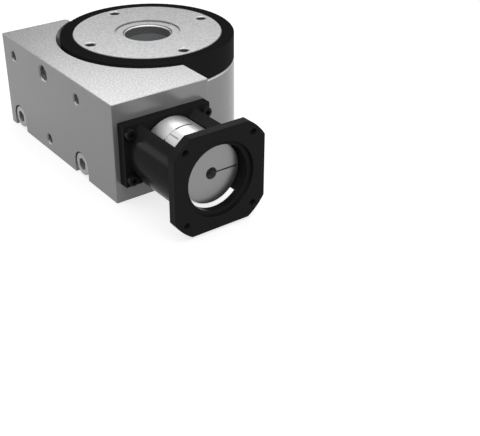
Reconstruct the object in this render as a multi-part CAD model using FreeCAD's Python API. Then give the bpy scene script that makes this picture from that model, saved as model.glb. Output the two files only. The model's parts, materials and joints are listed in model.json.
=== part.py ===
import FreeCAD, Part
import math
import os

from FreeCAD import Placement, Rotation, Vector

# Worm-driven positioning rotary table with a bell-shaped motor adapter.
# Millimetres. The origin is the table axis on the base plane, +X runs to the right along
# the motor face, +Y to the back and +Z up. The worm axis lies along Y.

# Worm gear
gear_module = 1.25
wheel_margin = 25.3
worm_pitch_radius = 11.2
pressure_angle = 20.0
tooth_addendum = 1.25
tooth_dedendum = 1.5
tooth_play = 0.06
wheel_width = 14.0
worm_thread_length = 32.0
shaft_height = 35.0

# Housing
table_radius = 62.8
wall_margin = 0.2
side_wall = 16.0
front_wall = 38.8
back_wall = 8.2
plateau_length = 73.0
plateau_back_length = 52.5
plateau_back_corner = 2.0
plateau_step = 16.9
ledge_skin = 2.1
pocket_gap = 3.1
wall_chamfer = 1.2
edge_chamfer = 0.4
wheel_room = 2.25
worm_room = 0.75
cavity_gap = 0.3
base_hole_reach = 19.8
base_hole_width = 60.0
base_hole_depth = 15.0
base_hole_inset = 8.0

# Side face: ports above and below, clamping and adjusting screws of the worm carrier
port_rise = 6.6
port_mouth = 1.0
grease_port_height = 9.4
grease_port_mouth = 0.8
adjuster_rise = 21.8
adjuster_length = 10.0
adjuster_socket = 4.0
carrier_screw_height = 9.0
carrier_head_radius = 8.0
carrier_head_height = 10.0
carrier_head_sink = 0.6
carrier_socket = 8.0
carrier_thread_length = 18.0
counterbore_radius = 9.0

# Worm carrier
carrier_web = 6.4
web_gap = 1.45
web_foot = 14.0
pillar_length = 15.0
pillar_wall = 2.2
carrier_floor_gap = 0.4
lug_width = 10.0
lug_depth = 11.0
lug_rise = 11.8

# Worm shaft and its tapered roller bearings
shaft_radius = 5.0
shaft_shoulder_radius = 7.0
shaft_body_radius = 8.5
shaft_shoulder_length = 3.0
worm_pass_gap = 0.55
worm_bearing_width = 8.0
worm_roller_count = 12
worm_roller_length = 6.0
worm_roller_axis = 10.0
worm_roller_taper = 2.0
lock_nut_radius = 8.0
lock_nut_width = 3.2
lock_nut_slot = 2.0
circlip_width = 1.2
circlip_depth = 0.6
circlip_section = 2.0
circlip_mouth = 8.0
shaft_hole_radius = 8.0
shaft_seal_radius = 11.0
shaft_seal_width = 7.0

# Table, spindle and crossed roller bearing
disc_rise = 2.3
ring_rise = 1.9
ring_width = 9.1
ring_float = 0.4
ring_chamfer = 0.5
ring_screw_bite = 3.0
shoulder_width = 5.3
shoulder_thickness = 3.8
table_hole_inset = 6.7
table_hole_depth = 7.0
table_hole_mouth = 0.9
recess_step = 6.7
recess_depth = 1.2
bore_chamfer = 1.4
collar_gap = 1.55
seat_lip = 4.0
seat_sink = 2.1
bearing_height = 10.0
bearing_section = 12.0
bearing_split = 0.8
roller_diameter = 5.0
roller_length = 4.8
roller_play = 0.1
roller_count = 24
retainer_thickness = 2.5
retainer_inset = 2.5
plate_gap = 0.6
spindle_shoulder = 3.0
spindle_flange = 5.5
spindle_foot_step = 6.0
spindle_wall = 7.45
spindle_foot_gap = 1.0
wheel_hub_wall = 5.5
nut_height = 8.0
nut_wall = 7.0
nut_slot_width = 6.0
nut_slot_depth = 2.5
nut_slots = 4
key_width = 6.0
key_length = 16.0
key_sink = 3.0
key_rise = 2.6

# Base cover and its seal
cover_sink = 0.4
cover_thickness = 2.6
cover_step = 5.0
cover_gap = 0.2
cover_screw_inset = 2.9
cover_screw_spread = 60.0
cover_ring_step = 5.0
seal_section = 5.0
seal_height = 6.0
seal_boss_wall = 4.0
seal_lip = 1.0
seal_groove = 1.6

# Motor adapter
flange_height = 43.0
flange_thickness = 7.0
flange_margin = 4.05
flange_head_gap = 0.17
flange_hole_z = 16.2
spigot_radius = 16.0
spigot_length = 3.0
spigot_room = 1.0
adapter_length = 65.0
adapter_tube_radius = 29.2
adapter_bore_radius = 22.0
adapter_shaft_hole = 12.0
motor_plate_size = 66.8
motor_plate_corner = 39.6
motor_plate_thickness = 6.0
motor_pilot_radius = 25.0
motor_pilot_depth = 2.4
motor_hole_spacing = 49.5
motor_hole_mouth = 0.5
window_angle = 90.0
window_front_rim = 1.5
adapter_head_radius = 3.5
adapter_head_height = 4.0
adapter_socket = 3.0
adapter_thread_length = 8.0

# Coupling
coupling_radius = 21.0
coupling_standoff = 9.6
worm_hub_length = 15.9
motor_hub_length = 28.7
coupling_chamfer = 0.8
motor_shaft_radius = 4.0
shaft_in_hub = 14.8
spider_thickness = 1.0
spider_leg_length = 9.0
spider_leg_inner = 9.0
spider_inset = 0.2
spider_notch_angle = 36.0
spider_notch_depth = 3.0
spider_play = 0.05
spider_legs = 3
clamp_slit = 1.0
motor_clamp_depth = 14.0
worm_clamp_depth = 7.0
worm_clamp_screw = 4.6
motor_clamp_screw = 7.0
clamp_screw_offset = 13.0
clamp_head_depth = 8.0
clamp_thread_depth = 10.5

# Screws: tapped-hole and clearance-hole radii, and the running and thread clearances
tap_m2 = 1.025
tap_m3 = 1.25
tap_m4 = 1.65
tap_m5 = 2.1
tap_m8 = 3.4
tap_m10 = 4.25
tap_m12 = 5.1
clear_m2 = 1.4
clear_m3 = 1.6
clear_m4 = 2.25
clear_m10 = 5.25
countersink_m2 = 2.3
countersink_m3 = 2.4
thread_gap = 0.02
fit_gap = 0.01
running_gap = 0.05
tap_runout = 2.0
small_screw_count = 6
spindle_screw_turn = 30.0
small_thread_length = 5.0
screw_chamfer = 0.4
overshoot = 1.0

# Screw shanks, a thread clearance smaller than their tapped holes
shank_m2 = tap_m2 - thread_gap
shank_m3 = tap_m3 - thread_gap
shank_m4 = tap_m4 - thread_gap
shank_m8 = tap_m8 - thread_gap
shank_m10 = tap_m10 - thread_gap

# Gear geometry
wheel_teeth = round(2 * (table_radius - wheel_margin) / gear_module)
wheel_pitch_radius = gear_module * wheel_teeth / 2
wheel_tip_radius = wheel_pitch_radius + tooth_addendum
wheel_root_radius = wheel_pitch_radius - tooth_dedendum
worm_tip_radius = worm_pitch_radius + tooth_addendum
worm_root_radius = worm_pitch_radius - tooth_dedendum
worm_pitch = math.pi * gear_module
worm_x = -(wheel_pitch_radius + worm_pitch_radius)
lead_slope = gear_module / (2 * worm_pitch_radius)

# Plan of the housing
wall_radius = table_radius + wall_margin
pocket_radius = table_radius + pocket_gap
web_face = worm_x - worm_tip_radius - web_gap
inner_left = web_face - carrier_web
left_face = inner_left - side_wall
plateau_edge = left_face + plateau_length
plateau_back_edge = left_face + plateau_back_length
cavity_end = wall_radius - back_wall
front_face = cavity_end + front_wall
seal_face = front_face - spigot_length - spigot_room
carrier_end = cavity_end - cavity_gap
pillar_centre = carrier_end - pillar_length / 2
pillar_start = carrier_end - pillar_length
worm_bearing_radius = worm_tip_radius + worm_pass_gap
pillar_radius = worm_bearing_radius + pillar_wall
wheel_cavity_radius = wheel_tip_radius + wheel_room

# Heights, stacked from the worm axis
pillar_top = shaft_height + pillar_radius
ledge_height = pillar_top + cavity_gap + ledge_skin
plateau_height = ledge_height + plateau_step
port_height = ledge_height + port_rise
adjuster_height = shaft_height + adjuster_rise
worm_ceiling = shaft_height + worm_tip_radius + worm_room
bearing_floor = ledge_height - seat_sink
bearing_top = bearing_floor + bearing_height
retainer_top = bearing_top + retainer_thickness
plate_floor = retainer_top + plate_gap
shoulder_top = plate_floor + shoulder_thickness
disc_top = plateau_height + disc_rise
ring_top = plateau_height + ring_rise
ring_floor = ledge_height + ring_float
cover_top = cover_sink + cover_thickness
wheel_floor = shaft_height - wheel_width / 2
wheel_ceiling = shaft_height + wheel_width / 2
nut_floor = wheel_floor - nut_height
seal_floor = cover_sink + cover_thickness + seal_lip

# Radii of the turned pieces
disc_radius = table_radius - ring_width
shoulder_radius = disc_radius + shoulder_width
table_hole_circle = disc_radius - table_hole_inset
skirt_radius = shoulder_radius + running_gap
collar_radius = shoulder_radius - collar_gap
bearing_outer_radius = wheel_cavity_radius + seat_lip
bearing_inner_radius = bearing_outer_radius - bearing_section
bearing_pitch_radius = (bearing_outer_radius + bearing_inner_radius) / 2
bearing_middle = (bearing_floor + bearing_top) / 2
retainer_radius = collar_radius - retainer_inset
retainer_screw_circle = (bearing_outer_radius + collar_radius) / 2
ring_screw_circle = (disc_radius + shoulder_radius) / 2
flange_radius = bearing_inner_radius + spindle_flange
spindle_screw_circle = (bearing_inner_radius + flange_radius) / 2
wheel_seat_radius = bearing_inner_radius - spindle_shoulder
spindle_foot_radius = wheel_seat_radius - spindle_foot_step
bore_radius = spindle_foot_radius - spindle_wall
recess_radius = bore_radius + recess_step
seal_outer_radius = spindle_foot_radius + seal_section
cover_radius = wheel_cavity_radius + cover_ring_step
cover_screw_circle = cover_radius - cover_screw_inset
cover_screw_y = cavity_end + cover_step - cover_screw_inset

# Foot flange of the motor adapter, with its screw heads just outside the tube
flange_hole_circle = adapter_tube_radius + adapter_head_radius + flange_head_gap
flange_hole_x = math.sqrt(flange_hole_circle**2 - flange_hole_z**2)
flange_width = 2 * (flange_hole_x + flange_margin)

up = Vector(0, 0, 1)
down = Vector(0, 0, -1)
left = Vector(-1, 0, 0)
origin = Vector(0, 0, 0)


# Shape helpers

def cylinder(radius, low, high, x=0.0, y=0.0):
    return Part.makeCylinder(radius, high - low, Vector(x, y, low))


def box(x0, x1, y0, y1, z0, z1):
    return Part.makeBox(x1 - x0, y1 - y0, z1 - z0, Vector(x0, y0, z0))


def turned(profile):
    """Solid turned about Z from the corners (radius, height) of its half section."""
    corners = [Vector(radius, 0, height) for radius, height in profile]
    section = Part.Face(Part.makePolygon(corners + corners[:1]))
    return section.revolve(origin, up, 360)


def tube(outer, inner, low, high):
    return turned([(inner, low), (outer, low), (outer, high), (inner, high)])


def prism(corners, low, high):
    """Upright prism on the corners (x, y) of its plan."""
    points = [Vector(x, y, low) for x, y in corners]
    plan = Part.Face(Part.makePolygon(points + points[:1]))
    return plan.extrude(Vector(0, 0, high - low))


def hexagon(across_flats, low, high):
    radius = across_flats / math.sqrt(3)
    corners = []
    for step in range(6):
        angle = math.radians(60 * step)
        corners.append((radius * math.cos(angle), radius * math.sin(angle)))
    return prism(corners, low, high)


def placed(shape, position, direction):
    """Copy of a shape drawn about Z, moved to a position with its +Z along a direction."""
    copy = shape.copy()
    copy.Placement = Placement(position, Rotation(up, direction)).multiply(copy.Placement)
    return copy


def on_worm_axis(shape):
    """Copy of a shape drawn about Z, where Z counts forward from the table axis, on the worm axis."""
    copy = shape.copy()
    axis = Placement(Vector(worm_x, 0, shaft_height), Rotation(Vector(1, 0, 0), 90))
    copy.Placement = axis.multiply(copy.Placement)
    return copy


def turned_copies(shape, count, start=0.0):
    copies = []
    for step in range(count):
        copy = shape.copy()
        copy.rotate(origin, up, start + 360.0 * step / count)
        copies.append(copy)
    return copies


def cut_all(shape, tools):
    return shape.cut(Part.makeCompound(tools))


def hole(radius, depth, mouth=0.0):
    """Drill about Z whose mouth lies at zero height, with a chamfered rim."""
    return turned([
        (0, -depth),
        (radius, -depth),
        (radius, -mouth),
        (radius + mouth + overshoot, overshoot),
        (0, overshoot),
    ])


def cap_screw(head_radius, head_height, shank_radius, length, socket):
    """Socket head cap screw about Z with the head's seat at zero height."""
    screw = turned([
        (0, -length),
        (shank_radius - screw_chamfer, -length),
        (shank_radius, -length + screw_chamfer),
        (shank_radius, 0),
        (head_radius, 0),
        (head_radius, head_height - screw_chamfer),
        (head_radius - screw_chamfer, head_height),
        (0, head_height),
    ])
    return screw.cut(hexagon(socket, head_height / 2, head_height + overshoot))


def countersunk_screw(head_radius, shank_radius, length):
    """Countersunk screw about Z with the head's face at zero height."""
    cone = head_radius - shank_radius
    screw = turned([
        (0, -length),
        (shank_radius, -length),
        (shank_radius, -cone),
        (head_radius, 0),
        (0, 0),
    ])
    return screw.cut(hexagon(shank_radius, -cone, overshoot))


def countersunk_hole(head_radius, radius, depth):
    rim = head_radius + fit_gap
    return hole(radius, depth, rim - radius)


def save(name, *solids):
    shape = solids[0] if len(solids) == 1 else Part.makeCompound(list(solids))
    shape.exportStep("parts/" + name + ".step")


# Places that several pieces share

def circle_points(circle, count, height, start=0.0):
    points = []
    for step in range(count):
        angle = math.radians(start + 360.0 * step / count)
        points.append(Vector(circle * math.cos(angle), circle * math.sin(angle), height))
    return points


def cover_screw_points():
    xs = ((inner_left + worm_x) / 2, worm_x + pillar_radius / 2)
    points = [Vector(x, y, cover_sink) for x in xs for y in (-cover_screw_y, cover_screw_y)]
    for step in (-1, 0, 1):
        turn = math.radians(step * cover_screw_spread)
        x = cover_screw_circle * math.cos(turn)
        y = cover_screw_circle * math.sin(turn)
        points.append(Vector(x, y, cover_sink))
    return points


def base_hole_points():
    xs = (left_face + base_hole_inset, table_radius - base_hole_reach)
    return [Vector(x, y, 0) for x in xs for y in (-base_hole_width / 2, base_hole_width / 2)]


def carrier_sides():
    return (-pillar_centre, pillar_centre)


def flange_hole_points():
    return [(x, z) for x in (-flange_hole_x, flange_hole_x) for z in (-flange_hole_z, flange_hole_z)]


# Housing

def housing_body():
    """Half-round lower body and a plateau, shorter at the back, with the pocket that the table turns in."""
    wall_start = -math.sqrt(wall_radius**2 - plateau_edge**2)
    corners = [
        Vector(0, wall_radius, 0),
        Vector(left_face, wall_radius, 0),
        Vector(left_face, -front_face, 0),
        Vector(plateau_edge, -front_face, 0),
        Vector(plateau_edge, wall_start, 0),
    ]
    sides = [Part.LineSegment(a, b).toShape() for a, b in zip(corners, corners[1:])]
    sides.append(Part.Arc(corners[-1], Vector(wall_radius, 0, 0), corners[0]).toShape())
    lower = Part.Face(Part.Wire(sides)).extrude(Vector(0, 0, ledge_height))
    upper = box(left_face, plateau_edge, -front_face, 0, 0, plateau_height)
    back_plan = [
        (left_face, 0),
        (plateau_back_edge, 0),
        (plateau_back_edge, wall_radius - plateau_back_corner),
        (plateau_back_edge - plateau_back_corner, wall_radius),
        (left_face, wall_radius),
    ]
    upper = upper.fuse(prism(back_plan, 0, plateau_height))
    pocket = cylinder(pocket_radius, ledge_height, plateau_height + overshoot)
    return lower.fuse(upper).cut(pocket).removeSplitter()


def chamfered(body):
    """Break the block's corners and the plateau's rim, and bevel the top of the half-round wall."""
    wall_edges = []
    block_edges = []
    for edge in body.Edges:
        middle = edge.CenterOfMass
        level = edge.BoundBox.ZLength < fit_gap
        straight = isinstance(edge.Curve, Part.Line)
        corner = abs(edge.BoundBox.ZLength - plateau_height) < fit_gap
        rim = level and abs(middle.z - plateau_height) < fit_gap
        if straight and (corner or rim):
            block_edges.append(edge)
        on_ledge = level and abs(middle.z - ledge_height) < fit_gap
        round_wall = not straight and abs(edge.Curve.Radius - wall_radius) < fit_gap
        back_edge = straight and abs(middle.y - wall_radius) < fit_gap
        if on_ledge and (round_wall or back_edge):
            wall_edges.append(edge)
    bevelled = body.makeChamfer(wall_chamfer, wall_edges)
    fresh = [edge for edge in bevelled.Edges for old in block_edges if edge.isSame(old)]
    return bevelled.makeChamfer(edge_chamfer, fresh)


def inner_cavities():
    """Room for the wheel, the worm and its carrier, all open towards the base."""
    right = worm_x + pillar_radius + cavity_gap
    floor = -overshoot
    rooms = [
        cylinder(wheel_cavity_radius, floor, bearing_floor + overshoot),
        cylinder(bearing_outer_radius + fit_gap, bearing_floor, bearing_top + overshoot),
        box(inner_left, right, -cavity_end, cavity_end, floor, worm_ceiling),
    ]
    lug_half = lug_width / 2 + cavity_gap
    lug_top = pillar_top + lug_rise + cavity_gap
    for side in carrier_sides():
        inner = abs(side) - pillar_length / 2 - cavity_gap
        y0, y1 = sorted((math.copysign(inner, side), math.copysign(cavity_end, side)))
        rooms.append(box(inner_left, right, y0, y1, floor, pillar_top + cavity_gap))
        lug_right = inner_left + lug_depth + cavity_gap
        rooms.append(box(inner_left, lug_right, side - lug_half, side + lug_half, floor, lug_top))
    return rooms


def cover_outline(gap):
    """Plan of the base cover, or of its recess where the gap is zero."""
    plate = box(
        inner_left + gap,
        worm_x + pillar_radius + cover_step - gap,
        -cavity_end - cover_step + gap,
        cavity_end + cover_step - gap,
        0,
        cover_top,
    )
    return plate.fuse(cylinder(cover_radius - gap, 0, cover_top)).removeSplitter()


def side_face_holes():
    """Ports, adjusting threads and counterbored clamping holes in the left face."""
    wall = side_wall + overshoot
    port_depth = -left_face - pocket_radius + overshoot
    tools = [
        placed(hole(tap_m12, port_depth, port_mouth), Vector(left_face, 0, port_height), left),
        placed(hole(tap_m8, wall, grease_port_mouth), Vector(left_face, 0, grease_port_height), left),
    ]
    sink = carrier_head_height + carrier_head_sink
    for y in carrier_sides():
        mouth = Vector(left_face, y, carrier_screw_height)
        adjuster = Vector(left_face, y, adjuster_height)
        tools.append(placed(hole(tap_m8, wall, grease_port_mouth), adjuster, left))
        tools.append(placed(hole(clear_m10, wall), mouth, left))
        tools.append(placed(hole(counterbore_radius, sink), mouth, left))
        tools.append(box(
            left_face - overshoot,
            left_face + sink,
            y - counterbore_radius,
            y + counterbore_radius,
            -overshoot,
            carrier_screw_height,
        ))
    return tools


def motor_face_holes():
    """Adapter spigot, seal seat, shaft passage and adapter threads in the motor face."""
    seal_back = seal_face - shaft_seal_width
    tools = [
        on_worm_axis(cylinder(spigot_radius, seal_face, front_face + overshoot)),
        on_worm_axis(cylinder(shaft_seal_radius + fit_gap, seal_back, seal_face + overshoot)),
        on_worm_axis(cylinder(shaft_hole_radius, cavity_end - overshoot, seal_face)),
    ]
    for x, z in flange_hole_points():
        thread = placed(hole(tap_m4, adapter_thread_length + tap_runout), Vector(x, z, front_face), up)
        tools.append(on_worm_axis(thread))
    return tools


def make_housing():
    body = chamfered(housing_body())
    body = body.fuse(cylinder(collar_radius, bearing_floor, bearing_top))
    tools = inner_cavities() + side_face_holes() + motor_face_holes()
    tools.append(cover_outline(0.0).fuse(cover_outline(0.0).translated(Vector(0, 0, -cover_top))))
    for point in base_hole_points():
        tools.append(placed(hole(tap_m8, base_hole_depth, grease_port_mouth), point, down))
    for point in cover_screw_points():
        seat = Vector(point.x, point.y, cover_top)
        tools.append(placed(hole(tap_m3, small_thread_length + tap_runout), seat, down))
    for point in circle_points(retainer_screw_circle, small_screw_count, bearing_top):
        tools.append(placed(hole(tap_m3, small_thread_length + tap_runout), point, up))
    for tool in tools:
        body = body.cut(tool)
    save("housing", body)


# Base cover

def make_base_cover():
    boss_radius = seal_outer_radius + seal_boss_wall
    cover = cover_outline(cover_gap).common(cylinder(front_face, cover_sink, cover_top))
    cover = cover.fuse(cylinder(boss_radius, cover_sink, seal_floor + seal_height))
    cover = cover.cut(cylinder(spindle_foot_radius + seal_lip, -overshoot, seal_floor + overshoot))
    cover = cover.cut(cylinder(seal_outer_radius + fit_gap, seal_floor, seal_floor + seal_height + overshoot))
    screw = countersunk_screw(countersink_m3, shank_m3, cover_thickness + small_thread_length)
    screw_hole = countersunk_hole(countersink_m3, clear_m3, cover_thickness + overshoot)
    screws = []
    for point in cover_screw_points():
        cover = cover.cut(placed(screw_hole, point, down))
        screws.append(placed(screw, point, down))
    save("base_cover", cover)
    save("base_cover_screws", *screws)
    lip = spindle_foot_radius + running_gap
    groove_middle = (lip + seal_outer_radius) / 2
    save("base_seal", turned([
        (lip, seal_floor),
        (seal_outer_radius, seal_floor),
        (seal_outer_radius, seal_floor + seal_height),
        (groove_middle + seal_groove / 2, seal_floor + seal_height),
        (groove_middle, seal_floor + seal_height / 2),
        (groove_middle - seal_groove / 2, seal_floor + seal_height),
        (lip, seal_floor + seal_height),
    ]))


# Worm carrier

def make_worm_carrier():
    """Cast bridge of two bearing pillars and a back web, clamped to the side wall."""
    floor = cover_top + carrier_floor_gap
    outer = worm_x + pillar_radius
    slant = pillar_radius / math.sqrt(2)
    corners = [
        Vector(worm_x, 0, pillar_top),
        Vector(inner_left, 0, pillar_top),
        Vector(inner_left, 0, floor),
        Vector(outer, 0, floor),
        Vector(outer, 0, shaft_height),
    ]
    sides = [Part.LineSegment(a, b).toShape() for a, b in zip(corners, corners[1:])]
    crown = Vector(worm_x + slant, 0, shaft_height + slant)
    sides.append(Part.Arc(corners[-1], crown, corners[0]).toShape())
    section = Part.Face(Part.Wire(sides))
    carrier = box(inner_left, web_face, -pillar_start, pillar_start, web_foot, worm_ceiling - cavity_gap)
    for side in carrier_sides():
        pillar = section.extrude(Vector(0, pillar_length, 0))
        pillar.translate(Vector(0, side - pillar_length / 2, 0))
        carrier = carrier.fuse(pillar)
        lug = box(
            inner_left,
            inner_left + lug_depth,
            side - lug_width / 2,
            side + lug_width / 2,
            shaft_height,
            pillar_top + lug_rise,
        )
        carrier = carrier.fuse(lug)
    carrier = carrier.removeSplitter()
    bearing_end = pillar_centre + worm_bearing_width / 2
    seat = worm_bearing_radius + fit_gap
    carrier = carrier.cut(on_worm_axis(cylinder(seat, -bearing_end, carrier_end + overshoot)))
    lip = worm_bearing_radius - pillar_wall
    carrier = carrier.cut(on_worm_axis(cylinder(lip, -carrier_end - overshoot, 0)))
    groove = worm_bearing_radius + circlip_depth + fit_gap
    carrier = carrier.cut(on_worm_axis(cylinder(groove, bearing_end, bearing_end + circlip_width)))
    thread = hole(tap_m10, carrier_thread_length + tap_runout)
    for y in carrier_sides():
        carrier = carrier.cut(placed(thread, Vector(inner_left, y, carrier_screw_height), left))
    save("worm_carrier", carrier)


def make_side_screws():
    reach = side_wall - carrier_head_height - carrier_head_sink
    clamp = cap_screw(
        carrier_head_radius,
        carrier_head_height,
        shank_m10,
        reach + carrier_thread_length,
        carrier_socket,
    )
    seat = left_face + carrier_head_height + carrier_head_sink
    grub = turned([
        (0, 0),
        (shank_m8 - screw_chamfer, 0),
        (shank_m8, screw_chamfer),
        (shank_m8, adjuster_length),
        (0, adjuster_length),
    ])
    grub = grub.cut(hexagon(adjuster_socket, adjuster_length / 2, adjuster_length + overshoot))
    clamps = []
    grubs = []
    for y in carrier_sides():
        clamps.append(placed(clamp, Vector(seat, y, carrier_screw_height), left))
        grubs.append(placed(grub, Vector(inner_left, y, adjuster_height), left))
    save("carrier_screws", *clamps)
    save("adjusting_screws", *grubs)


# Worm shaft

def thread_profile():
    """Axial section of the worm thread, sunk a little into the core."""
    sink = tooth_dedendum + cavity_gap
    slope = math.tan(math.radians(pressure_angle))
    half = worm_pitch / 4 - tooth_play / 2
    inner = worm_pitch_radius - sink
    corners = [
        Vector(inner, 0, -half - sink * slope),
        Vector(worm_tip_radius, 0, -half + tooth_addendum * slope),
        Vector(worm_tip_radius, 0, half - tooth_addendum * slope),
        Vector(inner, 0, half + sink * slope),
    ]
    return Part.makePolygon(corners + corners[:1])


def make_worm_shaft():
    half_thread = worm_thread_length / 2
    turns = math.ceil(half_thread / worm_pitch) + 1
    helix = Part.makeHelix(worm_pitch, 2 * turns * worm_pitch, worm_pitch_radius)
    thread = Part.Wire(helix).makePipeShell([thread_profile()], True, True)
    thread.translate(Vector(0, 0, -turns * worm_pitch))
    thread = thread.common(cylinder(worm_tip_radius + overshoot, -half_thread, half_thread))
    journal = pillar_centre - worm_bearing_width / 2
    body_end = journal - shaft_shoulder_length
    rear_end = pillar_centre + worm_bearing_width / 2 + lock_nut_width
    front_end = front_face + coupling_standoff + shaft_in_hub
    core = turned([
        (0, -rear_end),
        (shaft_radius - screw_chamfer, -rear_end),
        (shaft_radius, -rear_end + screw_chamfer),
        (shaft_radius, -journal),
        (shaft_shoulder_radius, -journal),
        (shaft_shoulder_radius, -body_end),
        (shaft_body_radius, -body_end),
        (shaft_body_radius, -half_thread - worm_pitch / 2),
        (worm_root_radius, -half_thread),
        (worm_root_radius, half_thread),
        (shaft_body_radius, half_thread + worm_pitch / 2),
        (shaft_body_radius, body_end),
        (shaft_shoulder_radius, body_end),
        (shaft_shoulder_radius, journal),
        (shaft_radius, journal),
        (shaft_radius, front_end - screw_chamfer),
        (shaft_radius - screw_chamfer, front_end),
        (0, front_end),
    ])
    save("worm_shaft", on_worm_axis(core.fuse(thread)))


def tapered_bearing():
    """Inner ring, outer ring and rollers of one worm bearing, wide end of its cones upwards."""
    half = worm_bearing_width / 2
    roller_pitch = (shaft_radius + worm_bearing_radius) / 2
    tilt = math.radians(worm_roller_axis)
    taper = math.radians(worm_roller_taper)
    reach = roller_pitch / math.sin(tilt)
    apex = reach * math.cos(tilt)
    inner_slope = math.tan(tilt - taper)
    outer_slope = math.tan(tilt + taper)
    bore = shaft_radius + fit_gap
    inner = turned([
        (bore, -half),
        ((apex - half) * inner_slope, -half),
        ((apex + half) * inner_slope, half),
        (bore, half),
    ])
    outer = turned([
        ((apex - half) * outer_slope, -half),
        (worm_bearing_radius, -half),
        (worm_bearing_radius, half),
        ((apex + half) * outer_slope, half),
    ])
    near = reach - worm_roller_length / 2
    far = reach + worm_roller_length / 2
    roller = Part.makeCone(
        near * math.tan(taper) - running_gap,
        far * math.tan(taper) - running_gap,
        worm_roller_length,
        Vector(0, 0, near),
    )
    roller.rotate(origin, Vector(0, 1, 0), worm_roller_axis)
    roller.translate(Vector(0, 0, -apex))
    return inner, outer, turned_copies(roller, worm_roller_count)


def make_worm_bearings():
    inner, outer, rollers = tapered_bearing()
    for name, centre, facing in (("front", pillar_centre, down), ("rear", -pillar_centre, up)):
        seat = Vector(0, 0, centre)
        label = "worm_" + name + "_bearing_"
        save(label + "inner_ring", on_worm_axis(placed(inner, seat, facing)))
        save(label + "outer_ring", on_worm_axis(placed(outer, seat, facing)))
        save(label + "rollers", *[on_worm_axis(placed(roller, seat, facing)) for roller in rollers])
    bearing_end = pillar_centre + worm_bearing_width / 2
    nut_end = bearing_end + lock_nut_width
    nut = tube(lock_nut_radius, shaft_radius + fit_gap, -nut_end, -bearing_end)
    half = lock_nut_slot / 2
    slot = box(shaft_shoulder_radius, lock_nut_radius, -half, half, -nut_end, -bearing_end)
    save("worm_lock_nut", on_worm_axis(cut_all(nut, turned_copies(slot, nut_slots))))
    outer_radius = worm_bearing_radius + circlip_depth
    circlip = tube(outer_radius, outer_radius - circlip_section, bearing_end, bearing_end + circlip_width)
    half_mouth = circlip_mouth / 2
    mouth = box(-half_mouth, half_mouth, -outer_radius, 0, bearing_end, bearing_end + circlip_width)
    save("worm_retaining_ring", on_worm_axis(circlip.cut(mouth)))
    lip = shaft_radius + running_gap
    seal_middle = (lip + shaft_seal_radius) / 2
    seal_back = seal_face - shaft_seal_width
    save("worm_shaft_seal", on_worm_axis(turned([
        (lip, seal_back),
        (seal_middle - seal_groove / 2, seal_back),
        (seal_middle, seal_face - shaft_seal_width / 2),
        (seal_middle + seal_groove / 2, seal_back),
        (shaft_seal_radius, seal_back),
        (shaft_seal_radius, seal_face),
        (lip, seal_face),
    ])))


# Table and spindle

def make_table_plate():
    plate = turned([
        (bore_radius, plate_floor),
        (shoulder_radius, plate_floor),
        (shoulder_radius, shoulder_top),
        (disc_radius, shoulder_top),
        (disc_radius, disc_top - edge_chamfer),
        (disc_radius - edge_chamfer, disc_top),
        (recess_radius + edge_chamfer, disc_top),
        (recess_radius, disc_top - edge_chamfer),
        (recess_radius, disc_top - recess_depth),
        (bore_radius + bore_chamfer, disc_top - recess_depth),
        (bore_radius, disc_top - recess_depth - bore_chamfer),
    ])
    tools = []
    for point in circle_points(table_hole_circle, 4, disc_top):
        tools.append(placed(hole(tap_m8, table_hole_depth, table_hole_mouth), point, up))
    for point in circle_points(spindle_screw_circle, small_screw_count, plate_floor, spindle_screw_turn):
        tools.append(placed(hole(tap_m3, small_thread_length), point, down))
    screw_hole = countersunk_hole(countersink_m2, clear_m2, shoulder_thickness + overshoot)
    for point in circle_points(ring_screw_circle, small_screw_count, plate_floor):
        tools.append(placed(screw_hole, point, down))
    save("table_plate", cut_all(plate, tools))


def make_table_ring():
    ring = turned([
        (skirt_radius, ring_floor),
        (table_radius, ring_floor),
        (table_radius, ring_top - ring_chamfer),
        (table_radius - ring_chamfer, ring_top),
        (disc_radius + running_gap, ring_top),
        (disc_radius + running_gap, shoulder_top),
        (skirt_radius, shoulder_top),
    ])
    length = shoulder_thickness + ring_screw_bite - screw_chamfer
    screw = countersunk_screw(countersink_m2, shank_m2, length)
    screws = []
    threads = []
    for point in circle_points(ring_screw_circle, small_screw_count, plate_floor):
        screws.append(placed(screw, point, down))
        threads.append(placed(hole(tap_m2, ring_screw_bite), Vector(point.x, point.y, shoulder_top), down))
    save("table_ring", cut_all(ring, threads))
    save("table_ring_screws", *screws)


def make_spindle():
    spindle = turned([
        (bore_radius, spindle_foot_gap + bore_chamfer),
        (bore_radius + bore_chamfer, spindle_foot_gap),
        (spindle_foot_radius - bore_chamfer, spindle_foot_gap),
        (spindle_foot_radius, spindle_foot_gap + bore_chamfer),
        (spindle_foot_radius, nut_floor),
        (wheel_seat_radius, nut_floor),
        (wheel_seat_radius, bearing_floor),
        (bearing_inner_radius, bearing_floor),
        (bearing_inner_radius, bearing_top),
        (flange_radius, bearing_top),
        (flange_radius, plate_floor),
        (bore_radius, plate_floor),
    ])
    tools = [key_body(0.0)]
    flange = plate_floor - bearing_top
    screw = countersunk_screw(countersink_m3, shank_m3, flange + small_thread_length - screw_chamfer)
    screw_hole = countersunk_hole(countersink_m3, clear_m3, flange + overshoot)
    screws = []
    for point in circle_points(spindle_screw_circle, small_screw_count, bearing_top, spindle_screw_turn):
        tools.append(placed(screw_hole, point, down))
        screws.append(placed(screw, point, down))
    save("spindle", cut_all(spindle, tools))
    save("spindle_screws", *screws)


def key_body(sink):
    """Parallel key across the wheel's seat, shortened by the sink at its crown."""
    middle = (wheel_floor + bearing_floor) / 2
    return box(
        -key_width / 2,
        key_width / 2,
        wheel_seat_radius - key_sink,
        wheel_seat_radius + key_rise - sink,
        middle - key_length / 2,
        middle + key_length / 2,
    )


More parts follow.
